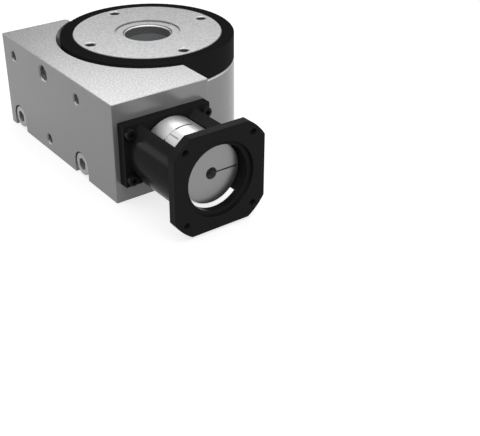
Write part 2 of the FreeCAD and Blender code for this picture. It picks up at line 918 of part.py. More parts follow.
def wheel_outline(height, turn):
    """Toothed outline of the wheel at one height, with involute flanks as arcs."""
    base = wheel_pitch_radius * math.cos(math.radians(pressure_angle))
    def involute(radius):
        angle = math.acos(base / radius)
        return math.tan(angle) - angle
    half_tooth = (math.pi * gear_module / 2 - tooth_play) / (2 * wheel_pitch_radius)
    def flank_angle(radius):
        return half_tooth + involute(wheel_pitch_radius) - involute(radius)
    def point(radius, angle):
        return Vector(radius * math.cos(angle), radius * math.sin(angle), height)
    radii = (wheel_root_radius, wheel_pitch_radius, wheel_tip_radius)
    tooth_step = 2 * math.pi / wheel_teeth
    edges = []
    for tooth in range(wheel_teeth):
        centre = math.pi + (tooth + 0.5) * tooth_step + turn
        rising = [point(radius, centre - flank_angle(radius)) for radius in radii]
        falling = [point(radius, centre + flank_angle(radius)) for radius in reversed(radii)]
        following = point(wheel_root_radius, centre + tooth_step - flank_angle(wheel_root_radius))
        edges.append(Part.Arc(*rising).toShape())
        edges.append(Part.LineSegment(rising[-1], falling[0]).toShape())
        edges.append(Part.Arc(*falling).toShape())
        edges.append(Part.LineSegment(falling[-1], following).toShape())
    return Part.Wire(edges)


def make_worm_wheel():
    twist = lead_slope * wheel_width / 2 / wheel_pitch_radius
    outlines = [wheel_outline(wheel_floor, -twist), wheel_outline(wheel_ceiling, twist)]
    wheel = Part.makeLoft(outlines, True, True)
    wheel = wheel.fuse(cylinder(wheel_seat_radius + wheel_hub_wall, wheel_ceiling, bearing_floor))
    bore = wheel_seat_radius + fit_gap
    wheel = wheel.cut(cylinder(bore, wheel_floor - overshoot, bearing_floor + overshoot))
    slot = key_body(-fit_gap)
    slot = slot.fuse(slot.translated(Vector(0, 0, -key_length)))
    save("worm_wheel", wheel.cut(slot))
    save("wheel_key", key_body(fit_gap))
    nut_radius = wheel_seat_radius + nut_wall
    nut = tube(nut_radius, bore, nut_floor, wheel_floor)
    half = nut_slot_width / 2
    slot = box(nut_radius - nut_slot_depth, nut_radius + overshoot, -half, half, nut_floor, wheel_floor)
    save("spindle_nut", cut_all(nut, turned_copies(slot, nut_slots)))


# Crossed roller bearing

def make_main_bearing():
    side = roller_diameter + roller_play
    reach = side / math.sqrt(2)
    half_split = bearing_split / 2
    inner_edge = bearing_pitch_radius - half_split
    outer_edge = bearing_pitch_radius + half_split
    mouth = reach - half_split
    save("main_bearing_inner_ring", turned([
        (bearing_inner_radius + fit_gap, bearing_floor),
        (inner_edge, bearing_floor),
        (inner_edge, bearing_middle - mouth),
        (bearing_pitch_radius - reach, bearing_middle),
        (inner_edge, bearing_middle + mouth),
        (inner_edge, bearing_top),
        (bearing_inner_radius + fit_gap, bearing_top),
    ]))
    save("main_bearing_outer_ring", turned([
        (bearing_outer_radius, bearing_floor),
        (bearing_outer_radius, bearing_top),
        (outer_edge, bearing_top),
        (outer_edge, bearing_middle + mouth),
        (bearing_pitch_radius + reach, bearing_middle),
        (outer_edge, bearing_middle - mouth),
        (outer_edge, bearing_floor),
    ]))
    rollers = []
    for step in range(roller_count):
        roller = cylinder(roller_diameter / 2, -roller_length / 2, roller_length / 2)
        lean = 45 if step % 2 == 0 else -45
        roller.rotate(origin, Vector(0, 1, 0), lean)
        roller.translate(Vector(bearing_pitch_radius, 0, bearing_middle))
        roller.rotate(origin, up, 360.0 * step / roller_count)
        rollers.append(roller)
    save("main_bearing_rollers", *rollers)
    retainer = tube(retainer_radius, wheel_cavity_radius, bearing_top, retainer_top)
    screw = countersunk_screw(countersink_m3, shank_m3, retainer_thickness + small_thread_length)
    screw_hole = countersunk_hole(countersink_m3, clear_m3, retainer_thickness + overshoot)
    tools = []
    screws = []
    for point in circle_points(retainer_screw_circle, small_screw_count, retainer_top):
        tools.append(placed(screw_hole, point, up))
        screws.append(placed(screw, point, up))
    save("bearing_retainer", cut_all(retainer, tools))
    save("bearing_retainer_screws", *screws)


# Motor adapter

def make_motor_adapter():
    """Bell with a four-screw foot flange, two windows in its tube and a motor plate."""
    foot = front_face + flange_thickness
    mouth = front_face + adapter_length
    plate_back = mouth - motor_plate_thickness
    half_width = flange_width / 2
    half_height = flange_height / 2
    half_plate = motor_plate_size / 2
    flange = box(-half_width, half_width, -half_height, half_height, front_face, foot)
    plate = box(-half_plate, half_plate, -half_plate, half_plate, plate_back, mouth)
    plate = plate.common(cylinder(motor_plate_corner, plate_back, mouth))
    bell = flange.fuse(cylinder(adapter_tube_radius, foot, plate_back)).fuse(plate)
    bell = bell.fuse(cylinder(spigot_radius - thread_gap, front_face - spigot_length, front_face))
    bell = bell.cut(cylinder(adapter_shaft_hole, front_face - spigot_length, foot))
    bell = bell.cut(cylinder(adapter_bore_radius, foot, mouth))
    bell = bell.cut(cylinder(motor_pilot_radius, mouth - motor_pilot_depth, mouth))
    half_window = math.radians(window_angle / 2)
    side = 2 * adapter_tube_radius * math.sin(half_window)
    rise = 2 * adapter_tube_radius * math.cos(half_window)
    for sign in (1, -1):
        wedge = [(0, 0), (side, sign * rise), (-side, sign * rise)]
        bell = bell.cut(prism(wedge, foot, plate_back - window_front_rim))
    half_spacing = motor_hole_spacing / 2
    for x in (-half_spacing, half_spacing):
        for z in (-half_spacing, half_spacing):
            thread = hole(tap_m5, motor_plate_thickness + overshoot, motor_hole_mouth)
            bell = bell.cut(placed(thread, Vector(x, z, mouth), up))
    screw = cap_screw(
        adapter_head_radius,
        adapter_head_height,
        shank_m4,
        flange_thickness + adapter_thread_length,
        adapter_socket,
    )
    screws = []
    for x, z in flange_hole_points():
        bell = bell.cut(placed(hole(clear_m4, flange_thickness + overshoot), Vector(x, z, foot), up))
        screws.append(on_worm_axis(placed(screw, Vector(x, z, foot), up)))
    save("motor_adapter", on_worm_axis(bell.removeSplitter()))
    save("adapter_screws", *screws)


# Coupling

def coupling_hub(low, high, bore):
    return turned([
        (bore, low),
        (coupling_radius - coupling_chamfer, low),
        (coupling_radius, low + coupling_chamfer),
        (coupling_radius, high - coupling_chamfer),
        (coupling_radius - coupling_chamfer, high),
        (bore, high),
    ])


def spider_leg(low, high, play, reach):
    half = spider_thickness / 2 + play
    return box(spider_leg_inner - play, reach, -half, half, low, high)


def spider_notch(low, high):
    """Gap in the rim of the spider's web, halfway between two of its legs."""
    half_angle = math.radians(spider_notch_angle / 2)
    side = 2 * coupling_radius * math.sin(half_angle)
    rise = 2 * coupling_radius * math.cos(half_angle)
    wedge = prism([(0, 0), (side, rise), (-side, rise)], low, high)
    return wedge.cut(cylinder(coupling_radius - spider_notch_depth, low, high))


def clamp_cut(hub, slit_low, slit_high, screw_height):
    """Slit a hub to its bore and give it the counterbore and thread of its clamping screw."""
    half = clamp_slit / 2
    hub = hub.cut(box(0, coupling_radius + overshoot, -half, half, slit_low, slit_high))
    seat = Vector(clamp_screw_offset, -clamp_head_depth, screw_height)
    below = Vector(0, -1, 0)
    reach = clamp_head_depth + clamp_thread_depth
    hub = hub.cut(placed(cylinder(adapter_head_radius + running_gap, 0, coupling_radius), seat, below))
    hub = hub.cut(placed(hole(tap_m4, reach), seat, below))
    length = reach - tap_runout
    screw = cap_screw(adapter_head_radius, adapter_head_height, shank_m4, length, adapter_socket)
    return hub, on_worm_axis(placed(screw, seat, below))


def make_coupling():
    start = front_face + coupling_standoff
    split = start + worm_hub_length
    resume = split + spider_thickness
    end = resume + motor_hub_length
    rear = coupling_hub(start, split, shaft_radius + fit_gap)
    front = coupling_hub(resume, end, motor_shaft_radius)
    half_turn = 180.0 / spider_legs
    leg_reach = coupling_radius - spider_inset
    slot_reach = coupling_radius + overshoot
    rear_slot = spider_leg(split - spider_leg_length, split, spider_play, slot_reach)
    front_slot = spider_leg(resume, resume + spider_leg_length, spider_play, slot_reach)
    rear_leg = spider_leg(split - spider_leg_length, split, 0.0, leg_reach)
    front_leg = spider_leg(resume, resume + spider_leg_length, 0.0, leg_reach)
    rear = cut_all(rear, turned_copies(rear_slot, spider_legs, half_turn))
    front = cut_all(front, turned_copies(front_slot, spider_legs))
    rear, rear_screw = clamp_cut(rear, start, start + worm_clamp_depth, start + worm_clamp_screw)
    front, front_screw = clamp_cut(front, end - motor_clamp_depth, end, end - motor_clamp_screw)
    web = tube(leg_reach, shaft_radius + spider_thickness, split, resume)
    spider = cut_all(web, turned_copies(spider_notch(split, resume), 2 * spider_legs))
    for leg in turned_copies(rear_leg, spider_legs, half_turn) + turned_copies(front_leg, spider_legs):
        spider = spider.fuse(leg)
    save("coupling_worm_hub", on_worm_axis(rear))
    save("coupling_motor_hub", on_worm_axis(front))
    save("coupling_spider", on_worm_axis(spider.removeSplitter()))
    save("coupling_clamp_screws", rear_screw, front_screw)


def make_all():
    os.makedirs("parts", exist_ok=True)
    make_housing()
    make_base_cover()
    make_worm_carrier()
    make_side_screws()
    make_worm_shaft()
    make_worm_bearings()
    make_table_plate()
    make_table_ring()
    make_spindle()
    make_worm_wheel()
    make_main_bearing()
    make_motor_adapter()
    make_coupling()


make_all()
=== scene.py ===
import json
import math

import bmesh
import bpy
from mathutils import Matrix, Vector


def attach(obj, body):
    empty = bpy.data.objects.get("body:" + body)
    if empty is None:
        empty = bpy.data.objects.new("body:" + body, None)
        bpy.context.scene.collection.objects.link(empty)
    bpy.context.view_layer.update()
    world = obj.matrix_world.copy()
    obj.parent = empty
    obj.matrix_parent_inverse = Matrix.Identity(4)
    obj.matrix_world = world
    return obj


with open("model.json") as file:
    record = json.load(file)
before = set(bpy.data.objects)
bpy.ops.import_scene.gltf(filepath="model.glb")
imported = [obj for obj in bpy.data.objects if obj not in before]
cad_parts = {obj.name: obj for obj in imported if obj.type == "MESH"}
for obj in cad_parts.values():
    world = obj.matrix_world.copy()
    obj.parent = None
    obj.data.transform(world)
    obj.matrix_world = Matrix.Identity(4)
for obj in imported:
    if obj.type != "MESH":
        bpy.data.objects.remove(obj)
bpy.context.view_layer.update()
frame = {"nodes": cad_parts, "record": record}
nodes = frame["nodes"]

# Places and sizes shared with the CAD frame, in metres
WORM_X, WORM_Z = -0.0487, 0.035
LEFT_FACE = -0.085
MOTOR_FACE = -0.1586
DISC_TOP = 0.0718
LEDGE_LIMIT = 0.0545  # chamfers below it run along the ledge of the half-round end
LEFT_HOLES_END = -0.06  # no hole of the left face reaches further in
POCKET_RADIUS = 0.06590
TABLE_BORE_RIM = 0.01695
TURNED_BAND = 0.0003  # a face this near to a radius belongs to it
SPIDER_Y = -0.1196  # middle of the coupling's joint

# Axes, each as a point on it and the directions across it
AXIS_TABLE = ((0.0, 0.0, 0.0), (1.0, 1.0, 0.0))
AXIS_WORM = ((WORM_X, 0.0, WORM_Z), (1.0, 0.0, 1.0))

# Threads, each as core radius and pitch, and the places of the tapped holes
M5, M8, M12 = (0.0021, 0.0008), (0.0034, 0.00125), (0.0051, 0.00175)
TABLE_HOLES = 0.047  # radius of their circle
TABLE_HOLE_WALL, TABLE_HOLE_MOUTH = 0.0038, 0.0044  # radii that take in a wall and its mouth
MOTOR_HOLES = 0.02475  # distance from the worm's axis, both across and up
ADJUSTER_Y, ADJUSTER_Z = 0.047, 0.0568
SENSOR_Z, GREASE_Z = 0.0592, 0.0094
BASE_XS, BASE_YS = (-0.077, 0.043), (-0.03, 0.03)

UP, DOWN, LEFT, FORWARD = (0, 0, 1), (0, 0, -1), (-1, 0, 0), (0, -1, 0)
WHITE = (1.0, 1.0, 1.0, 1.0)


# Node helpers

def new_material(name, colour, metallic, roughness, specular=0.5):
    """Material with its tree and shader; colour, metallic and roughness may be linked later."""
    mat = bpy.data.materials.new(name)
    mat.use_nodes = True
    mat.diffuse_color = (*colour, 1.0)
    shader = mat.node_tree.nodes["Principled BSDF"]
    shader.inputs["Base Color"].default_value = (*colour, 1.0)
    shader.inputs["Metallic"].default_value = metallic
    shader.inputs["Roughness"].default_value = roughness
    shader.inputs["Specular IOR Level"].default_value = specular
    return mat, mat.node_tree, shader


def new_node(tree, kind, inputs, **settings):
    """Node with its settings; inputs gives each socket a value or the output that feeds it."""
    node = tree.nodes.new(kind)
    for key, value in settings.items():
        setattr(node, key, value)
    for key, value in inputs.items():
        if isinstance(value, bpy.types.NodeSocket):
            tree.links.new(value, node.inputs[key])
        else:
            node.inputs[key].default_value = value
    return node


def math_node(tree, operation, *values):
    inputs = dict(enumerate(values))
    return new_node(tree, "ShaderNodeMath", inputs, operation=operation).outputs[0]


def vector_math(tree, operation, *values):
    inputs = dict(enumerate(values))
    node = new_node(tree, "ShaderNodeVectorMath", inputs, operation=operation)
    return node.outputs["Value" if operation in ("LENGTH", "DOT_PRODUCT") else "Vector"]


def product(tree, *factors):
    result = factors[0]
    for factor in factors[1:]:
        result = math_node(tree, "MULTIPLY", result, factor)
    return result


def remap(tree, value, low, high, to_low, to_high, **settings):
    inputs = {
        "Value": value, "From Min": low, "From Max": high, "To Min": to_low, "To Max": to_high
    }
    return new_node(tree, "ShaderNodeMapRange", inputs, **settings).outputs["Result"]


def spread(tree, grain, middle, swing):
    """Value that follows a noise, from middle - swing to middle + swing over its usual range."""
    usual_low, usual_high = 0.3, 0.7
    return remap(tree, grain, usual_low, usual_high, middle - swing, middle + swing)


def where(tree, mask, outside, inside):
    """Value between two numbers or outputs, by a mask from 0, outside, to 1, inside."""
    inputs = {"Factor": mask, "A": outside, "B": inside}
    return new_node(tree, "ShaderNodeMix", inputs).outputs["Result"]


def object_coords(tree):
    return new_node(tree, "ShaderNodeTexCoord", {}).outputs["Object"]


def surface_normal(tree):
    return new_node(tree, "ShaderNodeNewGeometry", {}).outputs["Normal"]


def split_xyz(tree, vector):
    return new_node(tree, "ShaderNodeSeparateXYZ", {0: vector}).outputs


def noise(tree, coords, scale, detail, rough):
    inputs = {"Vector": coords, "Scale": scale, "Detail": detail, "Roughness": rough}
    return new_node(tree, "ShaderNodeTexNoise", inputs).outputs[0]


def from_axis(tree, coords, axis):
    """Distance from an axis."""
    point, across = axis
    offset = vector_math(tree, "SUBTRACT", coords, point)
    return vector_math(tree, "LENGTH", vector_math(tree, "MULTIPLY", offset, across))


def tool_marks(tree, radius, rings):
    """Noise that changes with the radius alone, with so many rings per metre."""
    inputs = {"W": product(tree, radius, rings), "Scale": 1.0, "Detail": 2.0}
    return new_node(tree, "ShaderNodeTexNoise", inputs, noise_dimensions="1D").outputs[0]


def facing_up(tree, low=0.75, high=0.9):
    """0 on faces steeper than low and 1 on faces flatter than high, by the normal's height."""
    return remap(tree, split_xyz(tree, surface_normal(tree))["Z"], low, high, 0.0, 1.0)


def painted_edge_highlight(tree, factor, width=0.0004):
    """Factor on sharp edges and 1 on open faces, by how far a rounded normal turns away; a factor
    above 1 gives the edges a painted highlight.
    """
    open_face, sharp_edge = 0.98, 0.80
    rounded = new_node(tree, "ShaderNodeBevel", {"Radius": width}, samples=4).outputs["Normal"]
    agreement = vector_math(tree, "DOT_PRODUCT", rounded, surface_normal(tree))
    return remap(tree, agreement, open_face, sharp_edge, 1.0, factor)


def near_axes(tree, across, along, spots):
    """1 inside the circles (across, along, radius) of spots, mirrored to both sides of across."""
    inside = 0.0
    mirrored = math_node(tree, "ABSOLUTE", across)
    for u, v, radius in spots:
        du = math_node(tree, "SUBTRACT", mirrored, u)
        dv = math_node(tree, "SUBTRACT", along, v)
        square = math_node(tree, "MULTIPLY_ADD", du, du, product(tree, dv, dv))
        here = math_node(tree, "LESS_THAN", square, radius * radius)
        inside = math_node(tree, "MAXIMUM", here, inside)
    return inside


def tint(tree, shader, colour, factor):
    """Base colour times a factor from the nodes."""
    inputs = {"Factor": 1.0, "A": (*colour, 1.0), "B": factor}
    node = new_node(tree, "ShaderNodeMix", inputs, data_type="RGBA", blend_type="MULTIPLY")
    tree.links.new(node.outputs["Result"], shader.inputs["Base Color"])


def bump(tree, shader, height, distance, strength):
    inputs = {"Height": height, "Distance": distance, "Strength": strength}
    node = new_node(tree, "ShaderNodeBump", inputs)
    tree.links.new(node.outputs["Normal"], shader.inputs["Normal"])


# Materials

def left_holes(tree, coords):
    """1 in the tapped holes of the left face."""
    x, y, z = split_xyz(tree, coords)
    margin = 0.0001
    wide, narrow = M12[0] + margin, M8[0] + margin
    spots = ((0.0, SENSOR_Z, wide), (ADJUSTER_Y, ADJUSTER_Z, narrow), (0.0, GREASE_Z, narrow))
    outer = math_node(tree, "LESS_THAN", x, LEFT_HOLES_END)
    return product(tree, near_axes(tree, y, z, spots), outer)


def blasted_aluminium():
    """Bead-blasted and clear anodised, coarser on the top than on the milled sides; the sides carry
    painted shade, the ledge chamfers a painted highlight, and the left face's tapped holes and the
    pocket wall round the ring painted shade.
    """
    colour = (0.66, 0.66, 0.66)
    side_metallic, top_metallic = 0.27, 0.65
    roughness, rough_swing = 0.24, 0.08
    mat, tree, shader = new_material(
        "housing_blasted", colour, side_metallic, roughness, specular=0.12
    )
    coords = object_coords(tree)
    top = facing_up(tree)
    grain = noise(tree, coords, scale=850.0, detail=2.0, rough=0.6)
    cloud = noise(tree, coords, scale=28.0, detail=2.0, rough=0.5)
    amount = where(tree, top, outside=0.03, inside=1.4)
    centred = math_node(tree, "SUBTRACT", grain, 0.5)
    speckle = math_node(tree, "MULTIPLY_ADD", centred, amount, 1.0)
    on_ledge = math_node(tree, "LESS_THAN", split_xyz(tree, coords)["Z"], LEDGE_LIMIT)
    # Painted highlight: sloped faces along the ledge lighter, the other chamfers a little darker.
    chamfer = where(tree, on_ledge, outside=0.9, inside=1.35)
    # Painted shade: steep sides darker than the top.
    side = where(tree, facing_up(tree, low=0.4, high=0.66), outside=0.51, inside=chamfer)
    radius = from_axis(tree, coords, AXIS_TABLE)
    pocket = math_node(tree, "COMPARE", radius, POCKET_RADIUS, TURNED_BAND)
    pocket_wall = product(tree, pocket, math_node(tree, "LESS_THAN", top, 0.5))
    tone_and_painted_light = product(
        tree,
        spread(tree, cloud, middle=1.0, swing=0.015),
        where(tree, top, outside=side, inside=1.0),
        # Painted shade in the tapped holes of the left face.
        where(tree, left_holes(tree, coords), outside=1.0, inside=0.5),
        # Painted shade on the wall of the pocket round the ring.
        where(tree, pocket_wall, outside=1.0, inside=0.4),
    )
    tint(tree, shader, colour, product(tree, speckle, tone_and_painted_light))
    tree.links.new(where(tree, top, side_metallic, top_metallic), shader.inputs["Metallic"])
    uneven = math_node(tree, "MULTIPLY_ADD", centred, rough_swing, roughness)
    tree.links.new(uneven, shader.inputs["Roughness"])
    bump(tree, shader, product(tree, grain, amount), distance=0.00003, strength=0.2)
    return mat


def turned_metal(
    name, colour, metallic, roughness, axis, rings, depth=0.02, sparkle=0.04, painted_light=None
):
    """Metal with fine tool marks round an axis; an optional function paints shade and highlights
    onto its faces, otherwise its sharp edges get a painted highlight.
    """
    mat, tree, shader = new_material(name, colour, metallic, roughness)
    coords = object_coords(tree)
    radius = from_axis(tree, coords, axis)
    grain = noise(tree, coords, scale=800.0, detail=2.0, rough=0.6)
    tone_and_painted_light = painted_light(tree, coords, radius) if painted_light else painted_edge_highlight(tree, factor=1.15)
    tint(tree, shader, colour, product(tree, spread(tree, grain, 1.0, sparkle), tone_and_painted_light))
    tree.links.new(spread(tree, grain, roughness, swing=0.003), shader.inputs["Roughness"])
    bump(tree, shader, tool_marks(tree, radius, rings), distance=0.00001, strength=depth)
    return mat


def table_painted_light(tree, coords, radius):
    """Painted shade and highlights on the disc: steep walls darker than its face, tapped holes
    darker still, hole mouths and the bore rim lighter.
    """
    x, y, _ = split_xyz(tree, coords)
    places = ((0.0, TABLE_HOLES), (0.0, -TABLE_HOLES), (TABLE_HOLES, 0.0))
    holes = near_axes(tree, x, y, [(*place, TABLE_HOLE_WALL) for place in places])
    mouths = near_axes(tree, x, y, [(*place, TABLE_HOLE_MOUTH) for place in places])
    rim = math_node(tree, "COMPARE", radius, TABLE_BORE_RIM, TURNED_BAND)
    # Painted shade on steep walls, painted highlight on the bore rim.
    walls = where(tree, rim, outside=0.38, inside=1.35)
    disc = where(tree, facing_up(tree, low=0.8, high=0.95), outside=walls, inside=1.0)
    # Painted shade in the tapped holes, painted highlight round their mouths.
    return where(tree, holes, outside=where(tree, mouths, disc, 1.25), inside=0.3)


def coupling_painted_light(tree, coords, radius):
    """End faces and bore of a hub are painted darker than its mantle, as painted shade, and its
    sharp edges get a painted highlight.
    """
    mantle_from, bore_within = 0.019, 0.009  # radii
    mantle_tilt, bore_tilt = 0.8, 0.5  # most that their normals point along the axis
    along = math_node(tree, "ABSOLUTE", split_xyz(tree, surface_normal(tree))["Y"])
    mantle = product(
        tree,
        math_node(tree, "GREATER_THAN", radius, mantle_from),
        math_node(tree, "LESS_THAN", along, mantle_tilt),
    )
    bore = product(
        tree,
        math_node(tree, "LESS_THAN", radius, bore_within),
        math_node(tree, "LESS_THAN", along, bore_tilt),
    )
    face_and_bore_shade = where(tree, bore, outside=0.31, inside=0.8)
    return product(tree, painted_edge_highlight(tree, factor=1.15), where(tree, mantle, face_and_bore_shade, 1.0))


def anodised_black(name, axis, side, level, roughness, specular, slope=(0.75, 0.9)):
    """Satin black with faint tool marks; side is the grey of steep faces, level the darker grey of
    flat ones, a painted shade, and sharp edges get a painted highlight.
    """
    colour = (side, side, 1.03 * side)
    mat, tree, shader = new_material(name, colour, 0.0, roughness, specular)
    coords = object_coords(tree)
    marks = tool_marks(tree, from_axis(tree, coords, axis), rings=2600.0)
    grain = noise(tree, coords, scale=1100.0, detail=3.0, rough=0.6)
    tone_and_painted_light = product(
        tree,
        spread(tree, grain, middle=1.0, swing=0.12),
        painted_edge_highlight(tree, factor=1.25),
        # Painted shade: flat faces take the darker level grey.
        where(tree, facing_up(tree, *slope), outside=1.0, inside=level / side),
    )
    tint(tree, shader, colour, tone_and_painted_light)
    mixed = math_node(tree, "MULTIPLY_ADD", grain, 0.6, product(tree, marks, 0.4))
    tree.links.new(spread(tree, mixed, roughness, swing=0.04), shader.inputs["Roughness"])
    bump(tree, shader, mixed, distance=0.00003, strength=0.1)
    return mat


def plain_metal(name, colour, metallic, roughness, scale=700.0, specular=0.5):
    """Metal with fine grain, used where no tool marks run round an axis; its sharp edges get a
    painted highlight.
    """
    mat, tree, shader = new_material(name, colour, metallic, roughness, specular)
    coords = object_coords(tree)
    grain = noise(tree, coords, scale, detail=3.0, rough=0.6)
    stain = noise(tree, coords, scale=90.0, detail=2.0, rough=0.5)
    tone_and_painted_light = product(
        tree,
        spread(tree, grain, middle=1.0, swing=0.07),
        spread(tree, stain, middle=1.0, swing=0.04),
        painted_edge_highlight(tree, factor=1.3, width=0.0003),
    )
    tint(tree, shader, colour, tone_and_painted_light)
    tree.links.new(spread(tree, grain, roughness, swing=0.07), shader.inputs["Roughness"])
    bump(tree, shader, grain, distance=0.00003, strength=0.3)
    return mat


def elastomer(name, colour, roughness):
    """Rubber or plastic with an uneven, matt skin."""
    mat, tree, shader = new_material(name, colour, 0.0, roughness, specular=0.4)
    grain = noise(tree, object_coords(tree), scale=1300.0, detail=4.0, rough=0.65)
    tint(tree, shader, colour, spread(tree, grain, middle=1.0, swing=0.15))
    tree.links.new(spread(tree, grain, roughness, swing=0.1), shader.inputs["Roughness"])
    bump(tree, shader, grain, distance=0.00005, strength=0.4)
    return mat


looks = {
    "housing_aluminium": blasted_aluminium(),
    "table_aluminium": turned_metal(
        "table_turned", (0.66, 0.66, 0.665), metallic=0.6, roughness=0.28,
        axis=AXIS_TABLE, rings=9000.0, depth=0.004, sparkle=0.22, painted_light=table_painted_light,
    ),
    "coupling_aluminium": turned_metal(
        "coupling_turned", (0.80, 0.80, 0.805), metallic=0.88, roughness=0.30,
        axis=AXIS_WORM, rings=9000.0, depth=0.01, sparkle=0.04, painted_light=coupling_painted_light,
    ),
    # Adapter: flat faces painted darker than steep ones, as painted shade.
    "black_anodised": anodised_black(
        "adapter_anodised", AXIS_WORM, side=0.023, level=0.012, roughness=0.2, specular=0.016
    ),
    "zinc_steel": plain_metal("zinc_plated", (0.40, 0.405, 0.41), metallic=0.5, roughness=0.38),
    "black_steel": plain_metal(
        "black_oxide", (0.012, 0.012, 0.0125), metallic=0.0, roughness=0.4, specular=0.08
    ),
    "ground_steel": turned_metal(
        "ground_steel", (0.58, 0.59, 0.60), metallic=0.8, roughness=0.3,
        axis=AXIS_TABLE, rings=5200.0,
    ),
    "cast_carrier": plain_metal(
        "cast_iron", (0.20, 0.20, 0.21), metallic=0.5, roughness=0.6, scale=260.0
    ),
    "bronze": plain_metal("wheel_bronze", (0.55, 0.36, 0.15), metallic=0.8, roughness=0.36),
    "seal_rubber": elastomer("seal_rubber", (0.02, 0.02, 0.021), roughness=0.6),
    "spider_elastomer": elastomer("spider_elastomer", (0.42, 0.42, 0.425), roughness=0.4),
}
# Ring: the wide slope range takes in its bevel, so the bevel gets the top's darker painted shade
# too.
ring_black = anodised_black(
    "ring_anodised", AXIS_TABLE, side=0.024, level=0.0080, roughness=0.5, specular=0.004,
    slope=(0.55, 0.85),
)
pad_black = elastomer("pad_elastomer", (0.03, 0.03, 0.031), roughness=0.55)
worm_steel = turned_metal(
    "worm_ground", (0.50, 0.51, 0.52), metallic=0.8, roughness=0.3, axis=AXIS_WORM, rings=5200.0
)
# Thread coils in the housing and the table are darker greys than the metal round them, as painted
# shade in the tapped holes; in the adapter they take its own black.
thread_looks = {
    "housing_aluminium": plain_metal(
        "thread_painted_shade", (0.24, 0.24, 0.24), metallic=0.3, roughness=0.4
    ),
    "table_aluminium": plain_metal(
        "thread_shaded", (0.06, 0.06, 0.06), metallic=0.2, roughness=0.5
    ),
    "black_anodised": looks["black_anodised"],
}

slot_of = {entry["node"]: entry["material_slot"] for entry in frame["record"]["subparts"]}
for name, piece in nodes.items():
    mat = looks[slot_of[name]]
    if name == "table_ring":
        mat = ring_black
    elif name.startswith("worm_") and slot_of[name] == "ground_steel":
        mat = worm_steel
    for index in range(len(piece.material_slots)):
        piece.material_slots[index].material = mat


# Mesh helpers

def bridge(mesh, first, second):
    """Faces between two closed loops of equal length."""
    for k in range(len(first)):
        other = (k + 1) % len(first)
        mesh.faces.new((first[k], first[other], second[other], second[k]))


def to_object(mesh, name, material):
    data = bpy.data.meshes.new(name)
    mesh.to_mesh(data)
    mesh.free()
    data.materials.append(material)
    piece = bpy.data.objects.new(name, data)
    bpy.context.scene.collection.objects.link(piece)
    return piece


def loft(name, rows, material, body, closed=False):
    """Skin over closed sections; its two ends are capped, or joined when closed."""
    mesh = bmesh.new()
    loops = [[mesh.verts.new(point) for point in row] for row in rows]
    pairs = list(zip(loops, loops[1:]))
    if closed:
        pairs.append((loops[-1], loops[0]))
    else:
        mesh.faces.new(loops[0])
        mesh.faces.new(list(reversed(loops[-1])))
    for first, second in pairs:
        bridge(mesh, first, second)
    bmesh.ops.recalc_face_normals(mesh, faces=mesh.faces)
    piece = to_object(mesh, name, material)
    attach(piece, body)


# Threads in the tapped holes

def thread_coil(name, position, direction, thread, start, depth, body, slot):
    """Helical ridge on the wall of a tapped hole; start and depth count inwards from the mouth."""
    radius, pitch = thread
    height, sunk = 0.32 * pitch, 0.03 * pitch
    foot, crest = 0.42 * pitch, 0.06 * pitch  # half widths of the ridge
    per_turn = 28
    count = int(((depth - start) / pitch - 1.0) * per_turn)
    turn = Vector(UP).rotation_difference(Vector(direction))
    rows = []
    for step in range(count + 1):
        angle = 2.0 * math.pi * step / per_turn
        level = -(start + 0.5 * pitch + pitch * step / per_turn)
        fade = min(1.0, step / per_turn, (count - step) / per_turn)
        tip = -height * fade
        row = []
        for out, lift in ((sunk, foot), (tip, crest), (tip, -crest), (sunk, -foot)):
            reach = radius + out
            point = Vector((reach * math.cos(angle), reach * math.sin(angle), level + lift))
            row.append(Vector(position) + turn @ point)
        rows.append(row)
    loft(name, rows, thread_looks[slot], body)


def table_thread(index):
    angle = math.pi / 2 * index
    spot = (TABLE_HOLES * math.cos(angle), TABLE_HOLES * math.sin(angle), DISC_TOP)
    name = "table_thread_%d" % index
    thread_coil(
        name, spot, UP, M8, start=0.0009, depth=0.0068, body="table", slot="table_aluminium"
    )


def motor_thread(index, across, up):
    spot = (WORM_X + across * MOTOR_HOLES, MOTOR_FACE, WORM_Z + up * MOTOR_HOLES)
    name = "motor_thread_%d" % index
    thread_coil(
        name, spot, FORWARD, M5, start=0.0005, depth=0.006, body="housing", slot="black_anodised"
    )


def housing_thread(name, spot, direction, thread, depth, start=0.0008):
    thread_coil(name, spot, direction, thread, start, depth, "housing", "housing_aluminium")


for index in range(4):
    table_thread(index)
for index, (across, up) in enumerate(((-1, 1), (1, 1), (1, -1), (-1, -1))):
    motor_thread(index, across, up)
for index, y in enumerate((-ADJUSTER_Y, ADJUSTER_Y)):
    spot = (LEFT_FACE, y, ADJUSTER_Z)
    housing_thread("adjuster_thread_%d" % index, spot, LEFT, M8, depth=0.0058)
housing_thread("sensor_thread", (LEFT_FACE, 0, SENSOR_Z), LEFT, M12, depth=0.0185, start=0.001)
housing_thread("grease_thread", (LEFT_FACE, 0, GREASE_Z), LEFT, M8, depth=0.0155)
for index, (x, y) in enumerate((x, y) for x in BASE_XS for y in BASE_YS):
    housing_thread("base_thread_%d" % index, (x, y, 0), DOWN, M8, depth=0.0145)


# Coupling joint: dark pads in the spider's gaps, and thin rims that close the joint beside them

